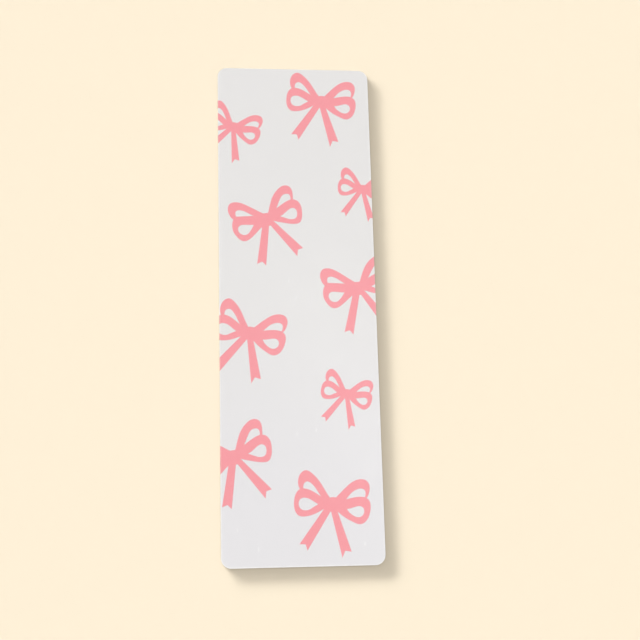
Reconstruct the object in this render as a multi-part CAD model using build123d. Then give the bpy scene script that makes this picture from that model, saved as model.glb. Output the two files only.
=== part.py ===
"""A flat paper bookmark: printed board, laminated on both faces and cut flush.

The frame is the card's own: X across its width, Y along its length, Z up through its
layers, with the back face on the ground plane and the origin under the card's middle.
"""
import os

from build123d import *

# Card outline
CARD_WIDTH = 50.8
CARD_LENGTH = 165.1
CORNER_RADIUS = 3.2

# Layers, from the back face to the front face
FILM_THICK = 0.075
GLUE_THICK = 0.05
BOARD_THICK = 0.45
INK_THICK = 0.02

# Heights of the layers above the back face
BACK_GLUE_HEIGHT = FILM_THICK
BOARD_HEIGHT = BACK_GLUE_HEIGHT + GLUE_THICK
FRONT_GLUE_HEIGHT = BOARD_HEIGHT + BOARD_THICK
FRONT_FILM_HEIGHT = FRONT_GLUE_HEIGHT + GLUE_THICK

# A full-size bow, measured across its loops
BOW_SPAN = 23.7

# Two bows are drawn, a left-hand one and a right-hand one, named for the side of the tall
# loop. Their points are shares of the span, from the middle of the knot. Each loop is a rim
# that starts and ends under the knot, then a hole that starts and ends at its tip by the
# knot. Each tail goes from under the knot round the two points and the notch of its end.
LEFT_BOW_LOOP_SHARES = {
    "tall": (
        [(-0.021, 0.069), (-0.148, 0.275), (-0.254, 0.396), (-0.333, 0.435), (-0.403, 0.394),
         (-0.437, 0.301), (-0.430, 0.225), (-0.359, 0.143)],
        [(-0.109, 0.055), (-0.141, 0.093), (-0.201, 0.187), (-0.262, 0.262), (-0.315, 0.290),
         (-0.356, 0.269), (-0.371, 0.218), (-0.350, 0.151)],
    ),
    "round": (
        [(0.000, 0.042), (-0.141, 0.093), (-0.254, 0.164), (-0.333, 0.195), (-0.412, 0.194),
         (-0.465, 0.143), (-0.495, 0.037), (-0.486, -0.081), (-0.438, -0.148),
         (-0.350, -0.160), (-0.227, -0.129), (-0.109, -0.070)],
        [(-0.180, -0.007), (-0.254, 0.040), (-0.342, 0.079), (-0.408, 0.067), (-0.437, 0.002),
         (-0.408, -0.063), (-0.350, -0.083), (-0.262, -0.053)],
    ),
    "wide": (
        [(0.049, 0.069), (0.116, 0.137), (0.187, 0.204), (0.257, 0.261), (0.327, 0.296),
         (0.398, 0.306), (0.460, 0.287), (0.498, 0.225), (0.496, 0.151), (0.465, 0.074),
         (0.398, 0.037)],
        [(0.151, 0.025), (0.183, 0.049), (0.266, 0.137), (0.327, 0.173), (0.389, 0.185),
         (0.433, 0.164), (0.444, 0.116), (0.430, 0.063)],
    ),
    "drop": (
        [(0.000, 0.028), (0.183, 0.049), (0.283, 0.070), (0.363, 0.079), (0.433, 0.070),
         (0.486, 0.032), (0.505, -0.033), (0.491, -0.139), (0.447, -0.227), (0.363, -0.275),
         (0.275, -0.248), (0.169, -0.188), (0.070, -0.109)],
        [(0.190, -0.073), (0.239, -0.069), (0.310, -0.048), (0.363, -0.042), (0.403, -0.062),
         (0.419, -0.104), (0.401, -0.157), (0.349, -0.185), (0.283, -0.167), (0.222, -0.121)],
    ),
}
LEFT_BOW_TAIL_SHARES = {
    "slant": [(0.000, 0.030), (-0.100, -0.060), (-0.437, -0.512), (-0.357, -0.516),
              (-0.335, -0.596), (-0.009, -0.082)],
    "straight": [(0.000, 0.030), (-0.021, -0.082), (0.115, -0.697), (0.153, -0.608),
                 (0.237, -0.622), (0.070, -0.109)],
}
RIGHT_BOW_LOOP_SHARES = {
    "tall": (
        [(0.042, 0.070), (0.105, 0.215), (0.150, 0.298), (0.246, 0.397), (0.340, 0.435),
         (0.405, 0.412), (0.436, 0.345), (0.433, 0.270), (0.424, 0.212), (0.400, 0.175)],
        [(0.135, 0.065), (0.172, 0.125), (0.235, 0.229), (0.296, 0.300), (0.344, 0.311),
         (0.382, 0.297), (0.396, 0.255), (0.385, 0.190)],
    ),
    "round": (
        [(0.000, 0.042), (0.120, 0.092), (0.175, 0.125), (0.289, 0.184), (0.380, 0.215),
         (0.440, 0.210), (0.490, 0.172), (0.517, 0.090), (0.514, 0.011), (0.498, -0.063),
         (0.450, -0.132), (0.380, -0.140), (0.289, -0.118), (0.198, -0.086), (0.110, -0.053)],
        [(0.200, 0.003), (0.253, 0.025), (0.340, 0.080), (0.387, 0.094), (0.425, 0.078),
         (0.444, 0.035), (0.439, -0.015), (0.415, -0.056), (0.375, -0.068), (0.300, -0.050)],
    ),
    "wide": (
        [(-0.008, 0.071), (-0.111, 0.146), (-0.229, 0.236), (-0.302, 0.281), (-0.356, 0.301),
         (-0.406, 0.306), (-0.456, 0.290), (-0.489, 0.240), (-0.496, 0.185), (-0.484, 0.128),
         (-0.455, 0.072), (-0.400, 0.045)],
        [(-0.160, 0.068), (-0.220, 0.113), (-0.268, 0.150), (-0.311, 0.173), (-0.352, 0.183),
         (-0.388, 0.173), (-0.403, 0.138), (-0.399, 0.097)],
    ),
    "drop": (
        [(0.000, 0.028), (-0.165, 0.058), (-0.256, 0.075), (-0.347, 0.083), (-0.400, 0.080),
         (-0.447, 0.055), (-0.470, 0.008), (-0.481, -0.058), (-0.474, -0.120),
         (-0.449, -0.178), (-0.413, -0.232), (-0.356, -0.269), (-0.302, -0.265),
         (-0.247, -0.238), (-0.165, -0.178), (-0.075, -0.110)],
        [(-0.180, -0.056), (-0.256, -0.047), (-0.325, -0.035), (-0.365, -0.037),
         (-0.396, -0.060), (-0.408, -0.104), (-0.389, -0.150), (-0.347, -0.180),
         (-0.303, -0.182), (-0.262, -0.157), (-0.215, -0.107)],
    ),
}
RIGHT_BOW_TAIL_SHARES = {
    "straight": [(0.000, 0.030), (-0.075, -0.112), (-0.240, -0.616), (-0.167, -0.597),
                 (-0.123, -0.660), (0.030, -0.082)],
    "slant": [(0.000, 0.030), (0.032, -0.082), (0.325, -0.602), (0.351, -0.513),
              (0.425, -0.500), (0.080, -0.025)],
}

# The knot band over the middle of either bow
KNOT_CENTRE_SHARES = (0.014, -0.015)
KNOT_SIZE_SHARES = (0.078, 0.190)
KNOT_ROUND_SHARE = 0.02

# Where each bow is printed: its knot as shares of the card's width and length from the
# card's middle, its size as a share of a full-size bow, its turn in degrees anticlockwise,
# and which of the two bows it is.
BOW_PLACE_SHARES = [
    (0.182, 0.431, 0.99, 0.0, "left"),
    (-0.400, 0.373, 0.78, -12.0, "left"),
    (-0.196, 0.178, 1.00, 10.0, "right"),
    (0.440, 0.243, 0.70, -2.0, "left"),
    (0.381, 0.037, 0.99, 4.5, "right"),
    (-0.312, -0.053, 0.99, -8.0, "left"),
    (0.292, -0.174, 0.70, -8.0, "left"),
    (-0.424, -0.293, 1.02, 9.0, "right"),
    (0.181, -0.384, 1.01, 0.0, "left"),
]


def card_outline():
    """The rounded rectangle that every layer is cut to."""
    return RectangleRounded(CARD_WIDTH, CARD_LENGTH, CORNER_RADIUS)


def layer(height, thickness):
    """A sheet of the card's outline, lying at a height above the back face."""
    return extrude(Pos(Z=height) * card_outline(), thickness)


def bow_points(shares):
    """Points of a full-size bow, in millimetres from the middle of its knot."""
    return [(x * BOW_SPAN, y * BOW_SPAN) for x, y in shares]


def loop(rim_shares, hole_shares):
    """One flattened ribbon loop: a rim that closes under the knot, less its hole."""
    rim_points = bow_points(rim_shares)
    rim = Spline(*rim_points)
    under_knot = Polyline(rim_points[-1], (0, 0), rim_points[0])
    hole_points = bow_points(hole_shares)
    hole = Spline(*hole_points) + Line(hole_points[-1], hole_points[0])
    return make_face(rim + under_knot) - make_face(hole)


def tail(shares):
    """One straight ribbon tail with a notched end."""
    return make_face(Polyline(*bow_points(shares), close=True))


def knot():
    """The band of ribbon round the middle of the bow."""
    width, height = [share * BOW_SPAN for share in KNOT_SIZE_SHARES]
    centre = Pos(*[share * BOW_SPAN for share in KNOT_CENTRE_SHARES])
    return centre * RectangleRounded(width, height, KNOT_ROUND_SHARE * BOW_SPAN)


def full_size_bow(loop_shares, tail_shares):
    """The flat shape of a bow with four loops and two tails, its knot at the origin."""
    loops = [loop(rim, hole) for rim, hole in loop_shares.values()]
    tails = [tail(points) for points in tail_shares.values()]
    return knot() + loops + tails


def printed_bow(bows, place):
    """A bow of ink on the board's front face, cut off where it runs over the card's edge."""
    width_share, length_share, size_share, turn, hand = place
    spot = Pos(width_share * CARD_WIDTH, length_share * CARD_LENGTH) * Rot(Z=turn)
    shape = spot * scale(bows[hand], by=size_share) & card_outline()
    return extrude(Pos(Z=FRONT_GLUE_HEIGHT) * shape, INK_THICK)


def build():
    """All the pieces by name, from the back face to the front face."""
    bows = {
        "left": full_size_bow(LEFT_BOW_LOOP_SHARES, LEFT_BOW_TAIL_SHARES),
        "right": full_size_bow(RIGHT_BOW_LOOP_SHARES, RIGHT_BOW_TAIL_SHARES),
    }
    prints = [printed_bow(bows, place) for place in BOW_PLACE_SHARES]
    pieces = {
        "back_film": layer(0, FILM_THICK),
        "back_adhesive": layer(BACK_GLUE_HEIGHT, GLUE_THICK),
        "card_core": layer(BOARD_HEIGHT, BOARD_THICK),
        "front_adhesive": layer(FRONT_GLUE_HEIGHT, GLUE_THICK) - prints,
        "front_film": layer(FRONT_FILM_HEIGHT, FILM_THICK),
    }
    for number, bow in enumerate(prints, start=1):
        pieces[f"bow_print_{number}"] = bow
    return pieces


os.makedirs("parts", exist_ok=True)
for node, shape in build().items():
    export_step(shape, f"parts/{node}.step")
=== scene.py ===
"""Looks of a laminated paper bookmark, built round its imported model.

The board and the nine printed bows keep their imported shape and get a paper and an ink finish.
Each clear film and its adhesive become one laminate with a rolled, cut rim. Lengths are in
metres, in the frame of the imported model: X across the card, Y along it, Z up off the floor.
"""
import logging
import math
from dataclasses import dataclass
from enum import Enum

import bmesh
import bpy
from mathutils import Matrix, Vector


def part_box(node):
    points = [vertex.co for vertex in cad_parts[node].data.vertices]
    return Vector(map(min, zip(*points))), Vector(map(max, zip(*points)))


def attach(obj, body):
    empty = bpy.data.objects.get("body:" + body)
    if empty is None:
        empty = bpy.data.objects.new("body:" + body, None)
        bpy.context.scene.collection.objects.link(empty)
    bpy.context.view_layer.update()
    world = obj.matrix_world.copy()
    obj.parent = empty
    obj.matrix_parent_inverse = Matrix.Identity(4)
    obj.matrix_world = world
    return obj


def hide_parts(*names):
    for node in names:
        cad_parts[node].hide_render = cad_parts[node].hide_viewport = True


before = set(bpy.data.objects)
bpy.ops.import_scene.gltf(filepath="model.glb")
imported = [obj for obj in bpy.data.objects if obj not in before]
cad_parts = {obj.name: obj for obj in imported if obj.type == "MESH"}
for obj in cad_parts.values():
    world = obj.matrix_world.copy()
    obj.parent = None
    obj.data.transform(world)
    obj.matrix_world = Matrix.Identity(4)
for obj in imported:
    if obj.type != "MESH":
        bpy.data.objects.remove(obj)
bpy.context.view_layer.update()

Colour = tuple[float, float, float, float]
Socket = bpy.types.NodeSocket
Point = tuple[float, float]
Range = tuple[float, float]
Triple = tuple[float, float, float]

LOG = logging.getLogger("bookmark")
MM = 0.001
BODY = "root"
WHITE: Colour = (1.0, 1.0, 1.0, 1.0)
UNIT_RANGE: Range = (0.0, 1.0)
NOISE_RANGE: Range = (0.3, 0.7)
TONE_RANGE: Range = (0.2, 0.8)
SAME_PLACE = 0.001 * MM
# How much of the pale rim, partly a painted edge highlight, the ink shows.
INK_RIM_SHARE = 0.12
BACK_ROLL_DEPTH = 0.03 * MM
FRONT_ROLL_DEPTH = 0.085 * MM


class Face(Enum):
    """The face of the card that a piece covers, as the way that the face looks along Z."""

    FRONT = 1
    BACK = -1


class ShaderTree:
    """Adds nodes to one shader tree, and joins them in the same call."""

    def __init__(self, tree: bpy.types.NodeTree) -> None:
        """Starts work on a tree."""
        self.tree = tree

    def add(self, kind: str, inputs: dict | None = None, **settings: object) -> bpy.types.Node:
        """Adds a node, sets it up and fills its inputs.

        Args:
            kind: Blender's name for the kind of node.
            inputs: Values or other nodes' outputs, by the input's name or place.
            settings: The node's own properties.

        Returns:
            The new node.
        """
        node = self.tree.nodes.new(kind)
        for name, value in settings.items():
            setattr(node, name, value)
        for key, value in (inputs or {}).items():
            self.fill(node.inputs[key], value)
        return node

    def fill(self, socket: Socket, value: object) -> None:
        """Links an output to an input, or sets the input's plain value.

        Args:
            socket: The input to fill.
            value: Another node's output, or a number, vector or colour.
        """
        if isinstance(value, bpy.types.NodeSocket):
            self.tree.links.new(value, socket)
        else:
            socket.default_value = value

    def math(self, operation: str, *values: Socket | float) -> Socket:
        """Works out a number from one, two or three others, by an operation that Blender names."""
        return self.add("ShaderNodeMath", dict(enumerate(values)), operation=operation).outputs[0]

    def remap(self, value: Socket, old: Range, new: Range) -> Socket:
        """Moves a number smoothly from one range to another, and holds it there.

        Args:
            value: The number.
            old: The low and high end of the range that it has.
            new: What those two ends become.

        Returns:
            The output that holds the result.
        """
        names = ("From Min", "From Max", "To Min", "To Max")
        inputs = {"Value": value, **dict(zip(names, (*old, *new)))}
        node = self.add("ShaderNodeMapRange", inputs, interpolation_type="SMOOTHSTEP")
        return node.outputs["Result"]

    def mix(
        self, share: Socket | float, first: Socket | Colour, second: Socket | Colour, way: str = "MIX"
    ) -> Socket:
        """Mixes two colours.

        Args:
            share: How much there is of the second one.
            first: The colour at share 0.
            second: The colour at share 1.
            way: Blender's name for how they are mixed.

        Returns:
            The output that holds the mixed colour.
        """
        node = self.add("ShaderNodeMix", data_type="RGBA", blend_type=way)
        colours = [s for s in node.inputs if s.type == "RGBA"]
        self.fill(node.inputs[0], share)
        self.fill(colours[0], first)
        self.fill(colours[1], second)
        return next(s for s in node.outputs if s.type == "RGBA")

    def noise(self, place: Socket, scale: float, detail: float = 3.0) -> Socket:
        """Adds soft noise, near 0.5 on average, with scale clouds in a metre and finer detail."""
        inputs = {"Vector": place, "Scale": scale, "Detail": detail}
        return self.add("ShaderNodeTexNoise", inputs).outputs[0]

    def stretched(self, place: Socket, shares: Triple) -> Socket:
        """Squeezes or stretches coordinates: each axis is multiplied by its share."""
        node = self.add("ShaderNodeVectorMath", {0: place, 1: shares}, operation="MULTIPLY")
        return node.outputs[0]

    def bump(self, height: Socket, strength: float, distance: float) -> Socket:
        """Tilts a normal as bumps would that stand a distance tall where the height is 1."""
        inputs = {"Height": height, "Strength": strength, "Distance": distance}
        return self.add("ShaderNodeBump", inputs).outputs[0]

    def place(self) -> Socket:
        """The coordinates of a point in its piece's own frame, in metres."""
        return self.add("ShaderNodeTexCoord").outputs["Object"]

    def axis(self, vector: Socket, name: str) -> Socket:
        """Takes the X, Y or Z of coordinates or of a direction."""
        return self.add("ShaderNodeSeparateXYZ", {0: vector}).outputs[name]


class Effect:
    """A shader node group that more than one finish uses, built once."""

    name: str
    inputs: dict[str, float]
    outputs: tuple[str, ...]

    def wire(self, shader: ShaderTree, given: bpy.types.Node) -> dict[str, Socket]:
        """Makes the nodes inside the group, and gives what each named output puts out."""
        raise NotImplementedError

    def group(self) -> bpy.types.NodeTree:
        """Finds the group, or makes it the first time.

        Returns:
            The group's tree.
        """
        found = bpy.data.node_groups.get(self.name)
        if found:
            return found
        tree = bpy.data.node_groups.new(self.name, "ShaderNodeTree")
        for name, value in self.inputs.items():
            socket = tree.interface.new_socket(name, in_out="INPUT", socket_type="NodeSocketFloat")
            socket.default_value = value
        for name in self.outputs:
            tree.interface.new_socket(name, in_out="OUTPUT", socket_type="NodeSocketFloat")
        shader = ShaderTree(tree)
        shader.add("NodeGroupOutput", self.wire(shader, shader.add("NodeGroupInput")))
        return tree

    def put(self, shader: ShaderTree, **values: float) -> bpy.types.Node:
        """Places the group in a material.

        Args:
            shader: The material's tree.
            values: The group's inputs, with a space in a name written as an underscore.

        Returns:
            The group node, whose outputs are the effect.
        """
        node = shader.add("ShaderNodeGroup", node_tree=self.group())
        for name, value in values.items():
            shader.fill(node.inputs[name.replace("_", " ")], value)
        return node


class PaperFibre(Effect):
    """Cloudy tone and short fibres, as pressed paper has."""

    name = "paper_fibre"
    inputs = {"Fibre Scale": 2600.0, "Cloud Scale": 160.0, "Fibre Share": 0.5}
    outputs = ("Tone", "Height")
    along_stretch: Triple = (1.0, 0.22, 1.0)
    across_stretch: Triple = (0.22, 1.0, 1.0)
    cloud_detail: float = 4.0

    def wire(self, shader: ShaderTree, given: bpy.types.Node) -> dict[str, Socket]:
        """Lays two directions of fibres over a cloudy tone.

        Args:
            shader: The group's own tree.
            given: The node that holds the group's inputs.

        Returns:
            Tone from 0 to 1, near 0.5 on average, and the height of the fibres.
        """
        place = shader.place()
        scale = given.outputs["Fibre Scale"]
        along = shader.noise(shader.stretched(place, self.along_stretch), scale)
        across = shader.noise(shader.stretched(place, self.across_stretch), scale)
        fibres = shader.math("MULTIPLY", shader.math("ADD", along, across), 0.5)
        clouds = shader.noise(place, given.outputs["Cloud Scale"], self.cloud_detail)
        share = given.outputs["Fibre Share"]
        cloud_part = shader.math("MULTIPLY", clouds, shader.math("SUBTRACT", 1.0, share))
        return {"Tone": shader.math("MULTIPLY_ADD", fibres, share, cloud_part), "Height": fibres}


class CutRim(Effect):
    """A band along the card's cut outline, broken up as a worn edge is, for a pale rim that is partly a
    painted edge highlight.
    """

    name = "cut_rim"
    inputs = {
        "Half Width": 25.4 * MM,
        "Half Length": 82.55 * MM,
        "Corner Radius": 3.2 * MM,
        "Band": 0.7 * MM,
    }
    outputs = ("Mask",)
    break_scale: float = 700.0
    break_detail: float = 4.0
    break_low: float = 0.45

    def wire(self, shader: ShaderTree, given: bpy.types.Node) -> dict[str, Socket]:
        """Measures how far a point is inside the rounded outline.

        Args:
            shader: The group's own tree.
            given: The node that holds the group's inputs.

        Returns:
            A mask that is highest on the outline and 0 inside the band.
        """
        place = shader.place()
        radius = given.outputs["Corner Radius"]
        beyond = []
        for axis, half in (("X", "Half Width"), ("Y", "Half Length")):
            straight = shader.math("SUBTRACT", given.outputs[half], radius)
            from_middle = shader.math("ABSOLUTE", shader.axis(place, axis))
            beyond.append(shader.math("SUBTRACT", from_middle, straight))
        outside = [shader.math("MAXIMUM", side, 0.0) for side in beyond]
        squares = [shader.math("MULTIPLY", side, side) for side in outside]
        corner = shader.math("SQRT", shader.math("ADD", *squares))
        inside = shader.math("MINIMUM", shader.math("MAXIMUM", *beyond), 0.0)
        gap = shader.math("SUBTRACT", radius, shader.math("ADD", corner, inside))
        near = shader.math("SUBTRACT", 1.0, shader.math("DIVIDE", gap, given.outputs["Band"]))
        breaks = shader.noise(place, self.break_scale, self.break_detail)
        broken = shader.remap(breaks, NOISE_RANGE, (self.break_low, 1.0))
        band = shader.remap(near, UNIT_RANGE, UNIT_RANGE)
        return {"Mask": shader.math("MULTIPLY", band, broken)}


class LintGlints(Effect):
    """A few short pale flecks, dust caught under the film painted as the small highlights it catches,
    longer along the card than across it.
    """

    name = "lint_glints"
    inputs = {"Half Width": 0.3 * MM}
    outputs = ("Mask",)
    squeeze: float = 0.3
    core_share: float = 0.2
    # Where the dust specks and their painted highlights lie.
    places: tuple[Point, ...] = (
        (-2.9 * MM, 8.2 * MM),
        (-0.6 * MM, 2.5 * MM),
        (-1.3 * MM, -41.6 * MM),
        (4.8 * MM, -40.4 * MM),
        (-20.3 * MM, -71.0 * MM),
        (-13.9 * MM, -77.0 * MM),
        (19.1 * MM, -76.0 * MM),
    )

    def wire(self, shader: ShaderTree, given: bpy.types.Node) -> dict[str, Socket]:
        """Measures how far a point is from the nearest fleck.

        Args:
            shader: The group's own tree.
            given: The node that holds the group's inputs.

        Returns:
            A mask that is 1 on a fleck.
        """
        place = shader.stretched(shader.place(), (1.0, self.squeeze, 0.0))
        gaps = []
        for x, y in self.places:
            ends = {0: place, 1: (x, y * self.squeeze, 0.0)}
            gaps.append(shader.add("ShaderNodeVectorMath", ends, operation="DISTANCE").outputs["Value"])
        nearest = gaps[0]
        for gap in gaps[1:]:
            nearest = shader.math("MINIMUM", nearest, gap)
        share = shader.math("DIVIDE", nearest, given.outputs["Half Width"])
        return {"Mask": shader.remap(share, (self.core_share, 1.0), (1.0, 0.0))}


@dataclass(frozen=True)
class Card:
    """The outline that every layer is cut to, and the heights of the layers."""

    half_width: float
    half_length: float
    corner_radius: float
    floor_height: float
    board_low: float
    ink_high: float
    face_height: float

    @classmethod
    def from_frame(cls) -> "Card":
        """Reads the card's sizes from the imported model.

        Returns:
            The card's outline and heights.
        """
        board_low, board_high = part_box("card_core")
        points = [v.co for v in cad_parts["card_core"].data.vertices]
        # A corner starts where the straight end of the card stops.
        end = [p.x for p in points if board_high.y - p.y < SAME_PLACE]
        return cls(
            half_width=board_high.x,
            half_length=board_high.y,
            corner_radius=board_high.x - max(end),
            floor_height=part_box("back_film")[0].z,
            board_low=board_low.z,
            ink_high=max(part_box(name)[1].z for name in bow_names()),
            face_height=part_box("front_film")[1].z,
        )

    def outline(self, inset: float, corner_steps: int = 16) -> list[Point]:
        """Points round the outline, moved inward.

        Args:
            inset: How far inside the cut edge the points lie.
            corner_steps: How many straight steps make one rounded corner.

        Returns:
            The points, anticlockwise from the right-hand side.
        """
        points = []
        reach = self.corner_radius - inset
        for turn, (right, top) in enumerate(((1, 1), (-1, 1), (-1, -1), (1, -1))):
            centre_x = right * (self.half_width - self.corner_radius)
            centre_y = top * (self.half_length - self.corner_radius)
            for step in range(corner_steps + 1):
                angle = (turn + step / corner_steps) * math.pi / 2
                points.append((centre_x + reach * math.cos(angle), centre_y + reach * math.sin(angle)))
        return points

    def rim_values(self) -> dict[str, float]:
        """The outline's sizes, as the cut rim effect takes them."""
        return {
            "Half_Width": self.half_width,
            "Half_Length": self.half_length,
            "Corner_Radius": self.corner_radius,
        }


def bow_names() -> list[str]:
    """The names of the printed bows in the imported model, in order."""
    return sorted(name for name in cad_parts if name.startswith("bow_print_"))


def start_material(name: str) -> tuple[bpy.types.Material, ShaderTree, bpy.types.Node]:
    """Starts a material with a Principled shader on its output.

    Args:
        name: The material's name.

    Returns:
        The material, its tree and its shader.
    """
    material = bpy.data.materials.new(name)
    material.use_nodes = True
    material.node_tree.nodes.clear()
    shader = ShaderTree(material.node_tree)
    surface = shader.add("ShaderNodeBsdfPrincipled")
    shader.add("ShaderNodeOutputMaterial", {"Surface": surface.outputs[0]})
    return material, shader, surface


def make_matt(shader: ShaderTree, surface: bpy.types.Node, tone: Socket, ends: Range) -> None:
    """Takes a surface's own sheen away, and lets its roughness follow a tone between two ends."""
    shader.fill(surface.inputs["Roughness"], shader.remap(tone, TONE_RANGE, ends))
    shader.fill(surface.inputs["Specular IOR Level"], 0.0)


def dress(piece: bpy.types.Object, material: bpy.types.Material) -> None:
    """Gives a piece one material all over."""
    piece.data.materials.clear()
    piece.data.materials.append(material)


@dataclass(frozen=True)
class WearAndHighlights:
    """What lies over a card's colours: a pale worn rim that is partly a painted edge highlight, most at
    its lower end, and dust specks painted pale as the small highlights they catch.
    """

    card: Card
    # The pale of the worn rim and of the specks stands partly for painted highlights.
    pale: Colour = (0.900, 0.890, 0.880, 1.0)
    rim_band: float = 0.7 * MM
    rim_share: float = 0.65
    end_reach: float = 2.5 * MM
    # The painted edge highlight is faint at the upper end and strong at the lower end.
    upper_end_share: float = 0.1
    lower_end_share: float = 1.5
    lint_glint_share: float = 0.75

    def rim_and_highlight_share(self, shader: ShaderTree) -> Socket:
        """Works out how much of the rim shows, from the card's upper end down to its lower end. At the
        ends this is a painted edge highlight as well, faint at the upper end and strong at the lower
        end.

        Args:
            shader: The material's tree.

        Returns:
            The output that holds the share, which is the rim's own along the card's sides.
        """
        along = shader.axis(shader.place(), "Y")
        down = shader.math("MULTIPLY", along, -1.0)
        end_range = (self.card.half_length - self.end_reach, self.card.half_length - self.rim_band)
        upper = shader.remap(along, end_range, (1.0, self.upper_end_share))
        lower = shader.remap(down, end_range, (1.0, self.lower_end_share))
        return shader.math("MULTIPLY", shader.math("MULTIPLY", upper, lower), self.rim_share)

    def over(self, shader: ShaderTree, colour: Socket) -> Socket:
        """Lays the pale rim, partly a painted edge highlight, and the dust specks, painted as small
        highlights, over a colour.

        Args:
            shader: The material's tree.
            colour: The clean colour.

        Returns:
            The output that holds the worn colour, with its painted highlights.
        """
        rim = CutRim().put(shader, Band=self.rim_band, **self.card.rim_values())
        lint_glints = LintGlints().put(shader)
        # The rim paints a pale worn edge with an edge highlight, and the specks paint small highlights.
        rim_part = shader.math("MULTIPLY", rim.outputs["Mask"], self.rim_and_highlight_share(shader))
        lint_glint_part = shader.math("MULTIPLY", lint_glints.outputs["Mask"], self.lint_glint_share)
        return shader.mix(shader.math("MAXIMUM", rim_part, lint_glint_part), colour, self.pale)


@dataclass(frozen=True)
class BoardFinish:
    """White coated board, a little warmer at its upper end and cooler at its lower end, with a fibrous
    cut edge.
    """

    wear: WearAndHighlights
    light: Colour = (0.770, 0.754, 0.748, 1.0)
    dark: Colour = (0.756, 0.740, 0.734, 1.0)
    cool_tint: Colour = (1.0, 1.0, 1.020, 1.0)
    warm_tint: Colour = (1.0, 1.0, 0.992, 1.0)
    warmth_range: Range = (-70.0 * MM, 10.0 * MM)
    edge_light: Colour = (0.760, 0.738, 0.712, 1.0)
    edge_dark: Colour = (0.660, 0.628, 0.588, 1.0)
    ply_scale: float = 2400.0
    ply_stretch: Triple = (0.2, 0.2, 5.0)
    dull_and_smooth: Range = (0.95, 0.82)
    bump_strength: float = 0.02
    bump_height: float = 0.02 * MM

    def face_colour(self, shader: ShaderTree, tone: Socket) -> Socket:
        """Mixes the colour of the board's two faces.

        Args:
            shader: The material's tree.
            tone: The paper's tone, from 0 to 1.

        Returns:
            The output that holds the colour.
        """
        paper = shader.mix(tone, self.dark, self.light)
        along = shader.axis(shader.place(), "Y")
        # Warmer towards the upper end, cooler towards the lower end.
        warmth = shader.remap(along, self.warmth_range, UNIT_RANGE)
        tint = shader.mix(warmth, self.cool_tint, self.warm_tint)
        # The board's face takes the painted rim and speck highlights.
        return self.wear.over(shader, shader.mix(1.0, paper, tint, "MULTIPLY"))

    def edge_colour(self, shader: ShaderTree) -> Socket:
        """Mixes the colour of the cut edge, where the board's plies show.

        Args:
            shader: The material's tree.

        Returns:
            The output that holds the colour.
        """
        plies = shader.noise(shader.stretched(shader.place(), self.ply_stretch), self.ply_scale)
        ply_share = shader.remap(plies, NOISE_RANGE, UNIT_RANGE)
        return shader.mix(ply_share, self.edge_dark, self.edge_light)

    def material(self) -> bpy.types.Material:
        """Makes the board's material.

        Returns:
            The material.
        """
        material, shader, surface = start_material("white_board")
        fibre = PaperFibre().put(shader)
        # Level faces take the paper's colour, and upright ones the cut edge's.
        normal = shader.add("ShaderNodeNewGeometry").outputs["Normal"]
        up = shader.math("ABSOLUTE", shader.axis(normal, "Z"))
        colours = (self.edge_colour(shader), self.face_colour(shader, fibre.outputs["Tone"]))
        shader.fill(surface.inputs["Base Color"], shader.mix(up, *colours))
        make_matt(shader, surface, fibre.outputs["Tone"], self.dull_and_smooth)
        bump = shader.bump(fibre.outputs["Height"], self.bump_strength, self.bump_height)
        shader.fill(surface.inputs["Normal"], bump)
        return material


@dataclass(frozen=True)
class InkFinish:
    """Pink printing ink, a little uneven, with pale pinholes where paper shows through."""

    wear: WearAndHighlights
    full: Colour = (0.872, 0.304, 0.333, 1.0)
    thin: Colour = (0.888, 0.337, 0.369, 1.0)
    pinhole: Colour = (0.870, 0.520, 0.530, 1.0)
    fibre_scale: float = 2000.0
    cloud_scale: float = 420.0
    fibre_share: float = 0.35
    pinhole_scale: float = 900.0
    pinhole_reach: Range = (0.04, 0.12)
    pinhole_share: float = 0.7
    smooth_and_dull: Range = (0.55, 0.70)
    bump_strength: float = 0.02
    bump_height: float = 0.02 * MM

    def material(self) -> bpy.types.Material:
        """Makes the ink's material.

        Returns:
            The material.
        """
        material, shader, surface = start_material("pink_ink")
        scales = {"Fibre_Scale": self.fibre_scale, "Cloud_Scale": self.cloud_scale}
        fibre = PaperFibre().put(shader, Fibre_Share=self.fibre_share, **scales)
        lay = shader.mix(fibre.outputs["Tone"], self.full, self.thin)
        spot_inputs = {"Vector": shader.place(), "Scale": self.pinhole_scale}
        spots = shader.add("ShaderNodeTexVoronoi", spot_inputs)
        holes = shader.remap(spots.outputs["Distance"], self.pinhole_reach, (self.pinhole_share, 0.0))
        # The ink takes a little of the painted rim and speck highlights.
        colour = self.wear.over(shader, shader.mix(holes, lay, self.pinhole))
        shader.fill(surface.inputs["Base Color"], colour)
        make_matt(shader, surface, fibre.outputs["Tone"], self.smooth_and_dull)
        bump = shader.bump(fibre.outputs["Height"], self.bump_strength, self.bump_height)
        shader.fill(surface.inputs["Normal"], bump)
        return material


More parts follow.
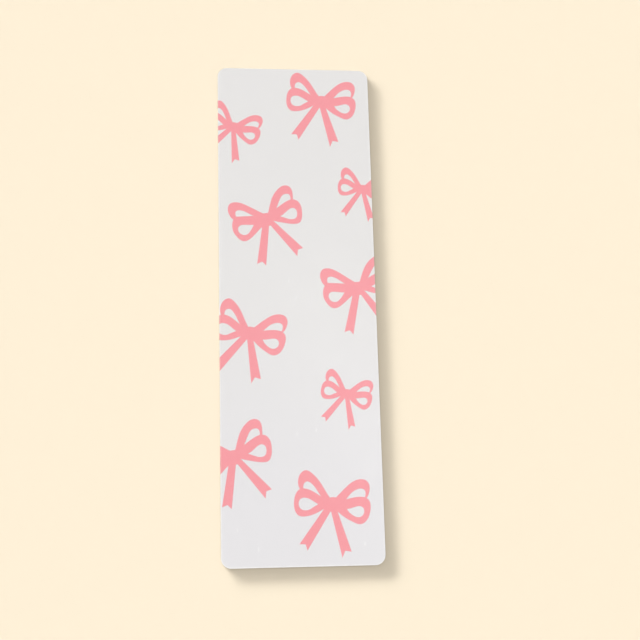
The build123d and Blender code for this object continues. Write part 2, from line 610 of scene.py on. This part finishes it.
@dataclass(frozen=True)
class FilmFinish:
    """Clear laminating film, with a soft sheen that scuffs dull here and there."""

    index: float = 1.49
    smooth_and_dull: Range = (0.17, 0.23)
    scuff_scale: float = 90.0
    scuff_detail: float = 5.0
    wave_scale: float = 260.0
    wave_detail: float = 2.0
    bump_strength: float = 0.05
    bump_height: float = 0.02 * MM

    def material(self) -> bpy.types.Material:
        """Makes the film's material.

        Returns:
            The material.
        """
        material, shader, surface = start_material("clear_film")
        place = shader.place()
        waves = shader.noise(place, self.wave_scale, self.wave_detail)
        bump = shader.bump(waves, self.bump_strength, self.bump_height)
        gloss = shader.add("ShaderNodeFresnel", {"IOR": self.index, "Normal": bump}).outputs[0]
        # Only the outer side mirrors light, so the print below keeps its own colour.
        inner = shader.add("ShaderNodeNewGeometry").outputs["Backfacing"]
        shown = shader.math("MULTIPLY", gloss, shader.math("SUBTRACT", 1.0, inner))
        shader.fill(surface.inputs["Base Color"], WHITE)
        shader.fill(surface.inputs["Metallic"], 1.0)
        scuffs = shader.noise(place, self.scuff_scale, self.scuff_detail)
        roughness = shader.remap(scuffs, NOISE_RANGE, self.smooth_and_dull)
        shader.fill(surface.inputs["Roughness"], roughness)
        shader.fill(surface.inputs["Normal"], bump)
        shader.fill(surface.inputs["Alpha"], shown)
        return material


@dataclass(frozen=True)
class FloorFinish:
    """Cream painted board under the card."""

    light: Colour = (0.583, 0.512, 0.400, 1.0)
    dark: Colour = (0.574, 0.505, 0.395, 1.0)
    fibre_scale: float = 1200.0
    cloud_scale: float = 60.0
    smooth_and_dull: Range = (0.85, 0.95)

    def material(self) -> bpy.types.Material:
        """Makes the floor's material.

        Returns:
            The material.
        """
        material, shader, surface = start_material("cream_floor")
        fibre = PaperFibre().put(shader, Fibre_Scale=self.fibre_scale, Cloud_Scale=self.cloud_scale)
        tone = fibre.outputs["Tone"]
        shader.fill(surface.inputs["Base Color"], shader.mix(tone, self.dark, self.light))
        make_matt(shader, surface, tone, self.smooth_and_dull)
        return material


@dataclass
class Board:
    """The white board in the middle of the card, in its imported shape."""

    finish: BoardFinish

    def build(self) -> bpy.types.Object:
        """Dresses the board.

        Returns:
            The board.
        """
        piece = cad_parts["card_core"]
        dress(piece, self.finish.material())
        return piece


@dataclass
class BowPrint:
    """The nine bows of ink on the board's front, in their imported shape."""

    finish: InkFinish

    def build(self) -> list[bpy.types.Object]:
        """Dresses the bows in one ink.

        Returns:
            The bows.
        """
        ink = self.finish.material()
        bows = [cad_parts[name] for name in bow_names()]
        for bow in bows:
            dress(bow, ink)
        return bows


@dataclass
class Laminate:
    """One clear film with its adhesive, cut flush with the board and rolled over at the rim."""

    name: str
    face: Face
    layers: tuple[str, str]
    roll_depth: float
    roll_width: float = 0.35 * MM
    bed_gap: float = 0.003 * MM
    roll_steps: int = 8

    def section(self, card: Card) -> list[Point]:
        """The rim's cross-section, from the bed up the cut edge and over the roll.

        Args:
            card: The card that the film covers.

        Returns:
            Points as inset from the cut edge and height.
        """
        side = self.face.value
        if self.face is Face.FRONT:
            bed, skin = card.ink_high, card.face_height
        else:
            bed, skin = card.board_low, card.floor_height
        shoulder = skin - side * self.roll_depth
        points = [(0.0, bed + side * self.bed_gap)]
        for step in range(self.roll_steps + 1):
            angle = step / self.roll_steps * math.pi / 2
            inset = self.roll_width * (1 - math.cos(angle))
            points.append((inset, shoulder + side * self.roll_depth * math.sin(angle)))
        return points

    def shell(self, card: Card) -> bpy.types.Mesh:
        """Makes the laminate's closed mesh, as rings of points from the bed to the skin.

        Args:
            card: The card that the film covers.

        Returns:
            The mesh.
        """
        shape = bmesh.new()
        rings = []
        for inset, height in self.section(card):
            rings.append([shape.verts.new((x, y, height)) for x, y in card.outline(inset)])
        for lower, upper in zip(rings, rings[1:]):
            for place, corner in enumerate(lower):
                after = (place + 1) % len(lower)
                wall = shape.faces.new((corner, lower[after], upper[after], upper[place]))
                wall.smooth = True
        shape.faces.new(rings[0])
        shape.faces.new(rings[-1])
        for ring in (rings[0], rings[1], rings[-1]):
            for place, corner in enumerate(ring):
                shape.edges.get((corner, ring[(place + 1) % len(ring)])).smooth = False
        bmesh.ops.recalc_face_normals(shape, faces=shape.faces)
        mesh = bpy.data.meshes.new(self.name)
        shape.to_mesh(mesh)
        shape.free()
        return mesh

    def build(self, card: Card, film: bpy.types.Material) -> bpy.types.Object:
        """Puts the laminate on the card, and dresses it.

        Args:
            card: The card that the film covers.
            film: The film's material.

        Returns:
            The laminate.
        """
        piece = bpy.data.objects.new(self.name, self.shell(card))
        bpy.context.scene.collection.objects.link(piece)
        dress(piece, film)
        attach(piece, BODY)
        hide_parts(*self.layers)
        return piece


def lit_group(name: str, pieces: list[bpy.types.Object]) -> bpy.types.Collection:
    """Groups the only pieces that a lamp lights.

    Args:
        name: The group's name.
        pieces: The pieces.

    Returns:
        The group.
    """
    group = bpy.data.collections.new(name)
    for piece in pieces:
        group.objects.link(piece)
    return group


@dataclass
class Studio:
    """Cream floor, a dome brightest overhead, a low key and spill from the upper left, a softbox.

    Turns, fans, rises and spreads are in degrees.
    """

    floor_size: float = 30.0
    floor_drop: float = 0.02 * MM
    dome_low: float = 0.505
    dome_high: float = 1.206
    backdrop_low: Colour = (0.992, 0.874, 0.683, 1.0)
    backdrop_high: Colour = (1.0, 0.93, 0.82, 1.0)
    backdrop_fade: float = 0.35
    key_turn: float = 132.0
    key_fan: float = 32.0
    key_count: int = 9
    key_rise: float = 5.2
    key_spread: float = 3.6
    key_strength: float = 21.9
    spill_rise: float = 11.0
    spill_spread: float = 12.0
    spill_strength: float = 1.85
    softbox_place: Triple = (0.33, 0.27, 2.0)
    softbox_width: float = 0.16
    softbox_length: float = 0.68
    softbox_turn: float = 20.0
    softbox_power: float = 0.66

    def floor(self, card: Card) -> bpy.types.Object:
        """Lays the floor just under the card.

        Args:
            card: The card that lies on it.

        Returns:
            The floor.
        """
        half = self.floor_size / 2
        height = card.floor_height - self.floor_drop
        signs = ((-1, -1), (1, -1), (1, 1), (-1, 1))
        corners = [(across * half, along * half, height) for across, along in signs]
        mesh = bpy.data.meshes.new("floor")
        mesh.from_pydata(corners, [], [(0, 1, 2, 3)])
        piece = bpy.data.objects.new("floor", mesh)
        bpy.context.scene.collection.objects.link(piece)
        dress(piece, FloorFinish().material())
        return piece

    def dome(self) -> None:
        """Lights the scene from all round, more from above, with a cream backdrop behind it."""
        world = bpy.data.worlds.new("dome")
        world.use_nodes = True
        world.node_tree.nodes.clear()
        shader = ShaderTree(world.node_tree)
        way = shader.add("ShaderNodeTexCoord").outputs["Generated"]
        rise = shader.math("MAXIMUM", shader.axis(way, "Z"), 0.0)
        glow = shader.math("MULTIPLY_ADD", rise, self.dome_high - self.dome_low, self.dome_low)
        light = shader.add("ShaderNodeBackground", {"Color": WHITE, "Strength": glow})
        fade = shader.remap(rise, (0.0, self.backdrop_fade), UNIT_RANGE)
        cloth_colour = shader.mix(fade, self.backdrop_low, self.backdrop_high)
        cloth = shader.add("ShaderNodeBackground", {"Color": cloth_colour})
        seen = shader.add("ShaderNodeLightPath").outputs["Is Camera Ray"]
        both = shader.add("ShaderNodeMixShader", {0: seen, 1: light.outputs[0], 2: cloth.outputs[0]})
        shader.add("ShaderNodeOutputWorld", {"Surface": both.outputs[0]})
        bpy.context.scene.world = world

    def low_lamp(
        self, name: str, turn: float, rise: float, spread: float, strength: float
    ) -> bpy.types.Object:
        """Hangs a far lamp low over the floor.

        Args:
            name: The lamp's name.
            turn: Its bearing, in degrees anticlockwise from the right.
            rise: Its height above the floor, in degrees.
            spread: How wide it looks from the floor, in degrees.
            strength: How strong it is.

        Returns:
            The lamp.
        """
        light = bpy.data.lights.new(name, "SUN")
        light.energy = strength
        light.angle = math.radians(spread)
        slope = Vector((1.0, 0.0, math.tan(math.radians(rise))))
        source = Matrix.Rotation(math.radians(turn), 3, "Z") @ slope
        lamp = bpy.data.objects.new(name, light)
        lamp.rotation_euler = source.to_track_quat("Z", "Y").to_euler()
        bpy.context.scene.collection.objects.link(lamp)
        return lamp

    def softbox(self) -> bpy.types.Object:
        """Hangs the softbox over the card, where the film mirrors it to the camera.

        Returns:
            The softbox.
        """
        light = bpy.data.lights.new("softbox", "AREA")
        light.shape = "RECTANGLE"
        light.size = self.softbox_width
        light.size_y = self.softbox_length
        light.energy = self.softbox_power
        lamp = bpy.data.objects.new("softbox", light)
        lamp.location = self.softbox_place
        lamp.rotation_euler.z = math.radians(self.softbox_turn)
        bpy.context.scene.collection.objects.link(lamp)
        return lamp

    def lamps(self, floor: bpy.types.Object, matt_pieces: list[bpy.types.Object]) -> None:
        """Hangs the lamps. The key draws the card's shadow, and lights only the floor.

        The spill leaves the film out, so that no glare hides the print.

        Args:
            floor: The floor.
            matt_pieces: The card's pieces that have no gloss of their own.
        """
        spill = self.low_lamp(
            "spill", self.key_turn, self.spill_rise, self.spill_spread, self.spill_strength
        )
        spill.light_linking.receiver_collection = lit_group("lit_by_spill", [floor, *matt_pieces])
        lit_by_key = lit_group("lit_by_key", [floor])
        share = self.key_strength / self.key_count
        for place in range(self.key_count):
            turn = self.key_turn + (place / (self.key_count - 1) - 0.5) * self.key_fan
            lamp = self.low_lamp(f"key_{place}", turn, self.key_rise, self.key_spread, share)
            lamp.light_linking.receiver_collection = lit_by_key
        self.softbox()

    def build(self, card: Card, matt_pieces: list[bpy.types.Object]) -> None:
        """Sets up the floor, the dome, the lamps and plain colours.

        Args:
            card: The card that lies on the floor.
            matt_pieces: The card's pieces that have no gloss of their own.
        """
        self.dome()
        self.lamps(self.floor(card), matt_pieces)
        bpy.context.scene.view_settings.view_transform = "Standard"
        bpy.context.scene.view_settings.look = "None"


@dataclass
class PhotoCamera:
    """The camera at the photograph's place: almost overhead, from the lower left.

    The roll is in degrees, and the lens and the sensor are in millimetres.
    """

    stand: Triple = (-32.72 * MM, -89.14 * MM, 360.75 * MM)
    aim: Point = (6.96 * MM, -4.79 * MM)
    roll: float = -1.56
    lens: float = 64.86
    sensor: float = 36.0
    nearest: float = 1.0 * MM

    def build(self, card: Card) -> bpy.types.Object:
        """Sets the camera up.

        Args:
            card: The card, whose front face the aim lies on.

        Returns:
            The camera.
        """
        data = bpy.data.cameras.new("photo_camera")
        data.lens = self.lens
        data.sensor_width = self.sensor
        data.clip_start = self.nearest
        stand = Vector(self.stand)
        back = (stand - Vector((*self.aim, card.face_height))).normalized()
        right = Vector((0.0, 1.0, 0.0)).cross(back).normalized()
        turned = Matrix((right, back.cross(right), back)).transposed().to_4x4()
        camera = bpy.data.objects.new("photo_camera", data)
        roll = Matrix.Rotation(math.radians(self.roll), 4, "Z")
        camera.matrix_world = Matrix.Translation(stand) @ turned @ roll
        bpy.context.scene.collection.objects.link(camera)
        bpy.context.scene.camera = camera
        return camera


def main() -> None:
    """Builds the bookmark, the studio and the camera, and reports each piece."""
    logging.basicConfig(level=logging.INFO, format="%(name)s: %(message)s")
    card = Card.from_frame()
    film = FilmFinish().material()
    board = Board(BoardFinish(WearAndHighlights(card))).build()
    LOG.info("%s: white board, corner radius %.2f mm", board.name, card.corner_radius / MM)
    bows = BowPrint(InkFinish(WearAndHighlights(card, rim_share=INK_RIM_SHARE))).build()
    for bow in bows:
        LOG.info("%s: pink ink", bow.name)
    back = ("back_film", "back_adhesive")
    front = ("front_film", "front_adhesive")
    laminates = (
        Laminate("back_laminate", Face.BACK, back, BACK_ROLL_DEPTH),
        Laminate("front_laminate", Face.FRONT, front, FRONT_ROLL_DEPTH),
    )
    for laminate in laminates:
        piece = laminate.build(card, film)
        LOG.info("%s: clear film in place of %s", piece.name, " and ".join(laminate.layers))
    Studio().build(card, [board, *bows])
    PhotoCamera().build(card)


if __name__ == "__main__":
    main()
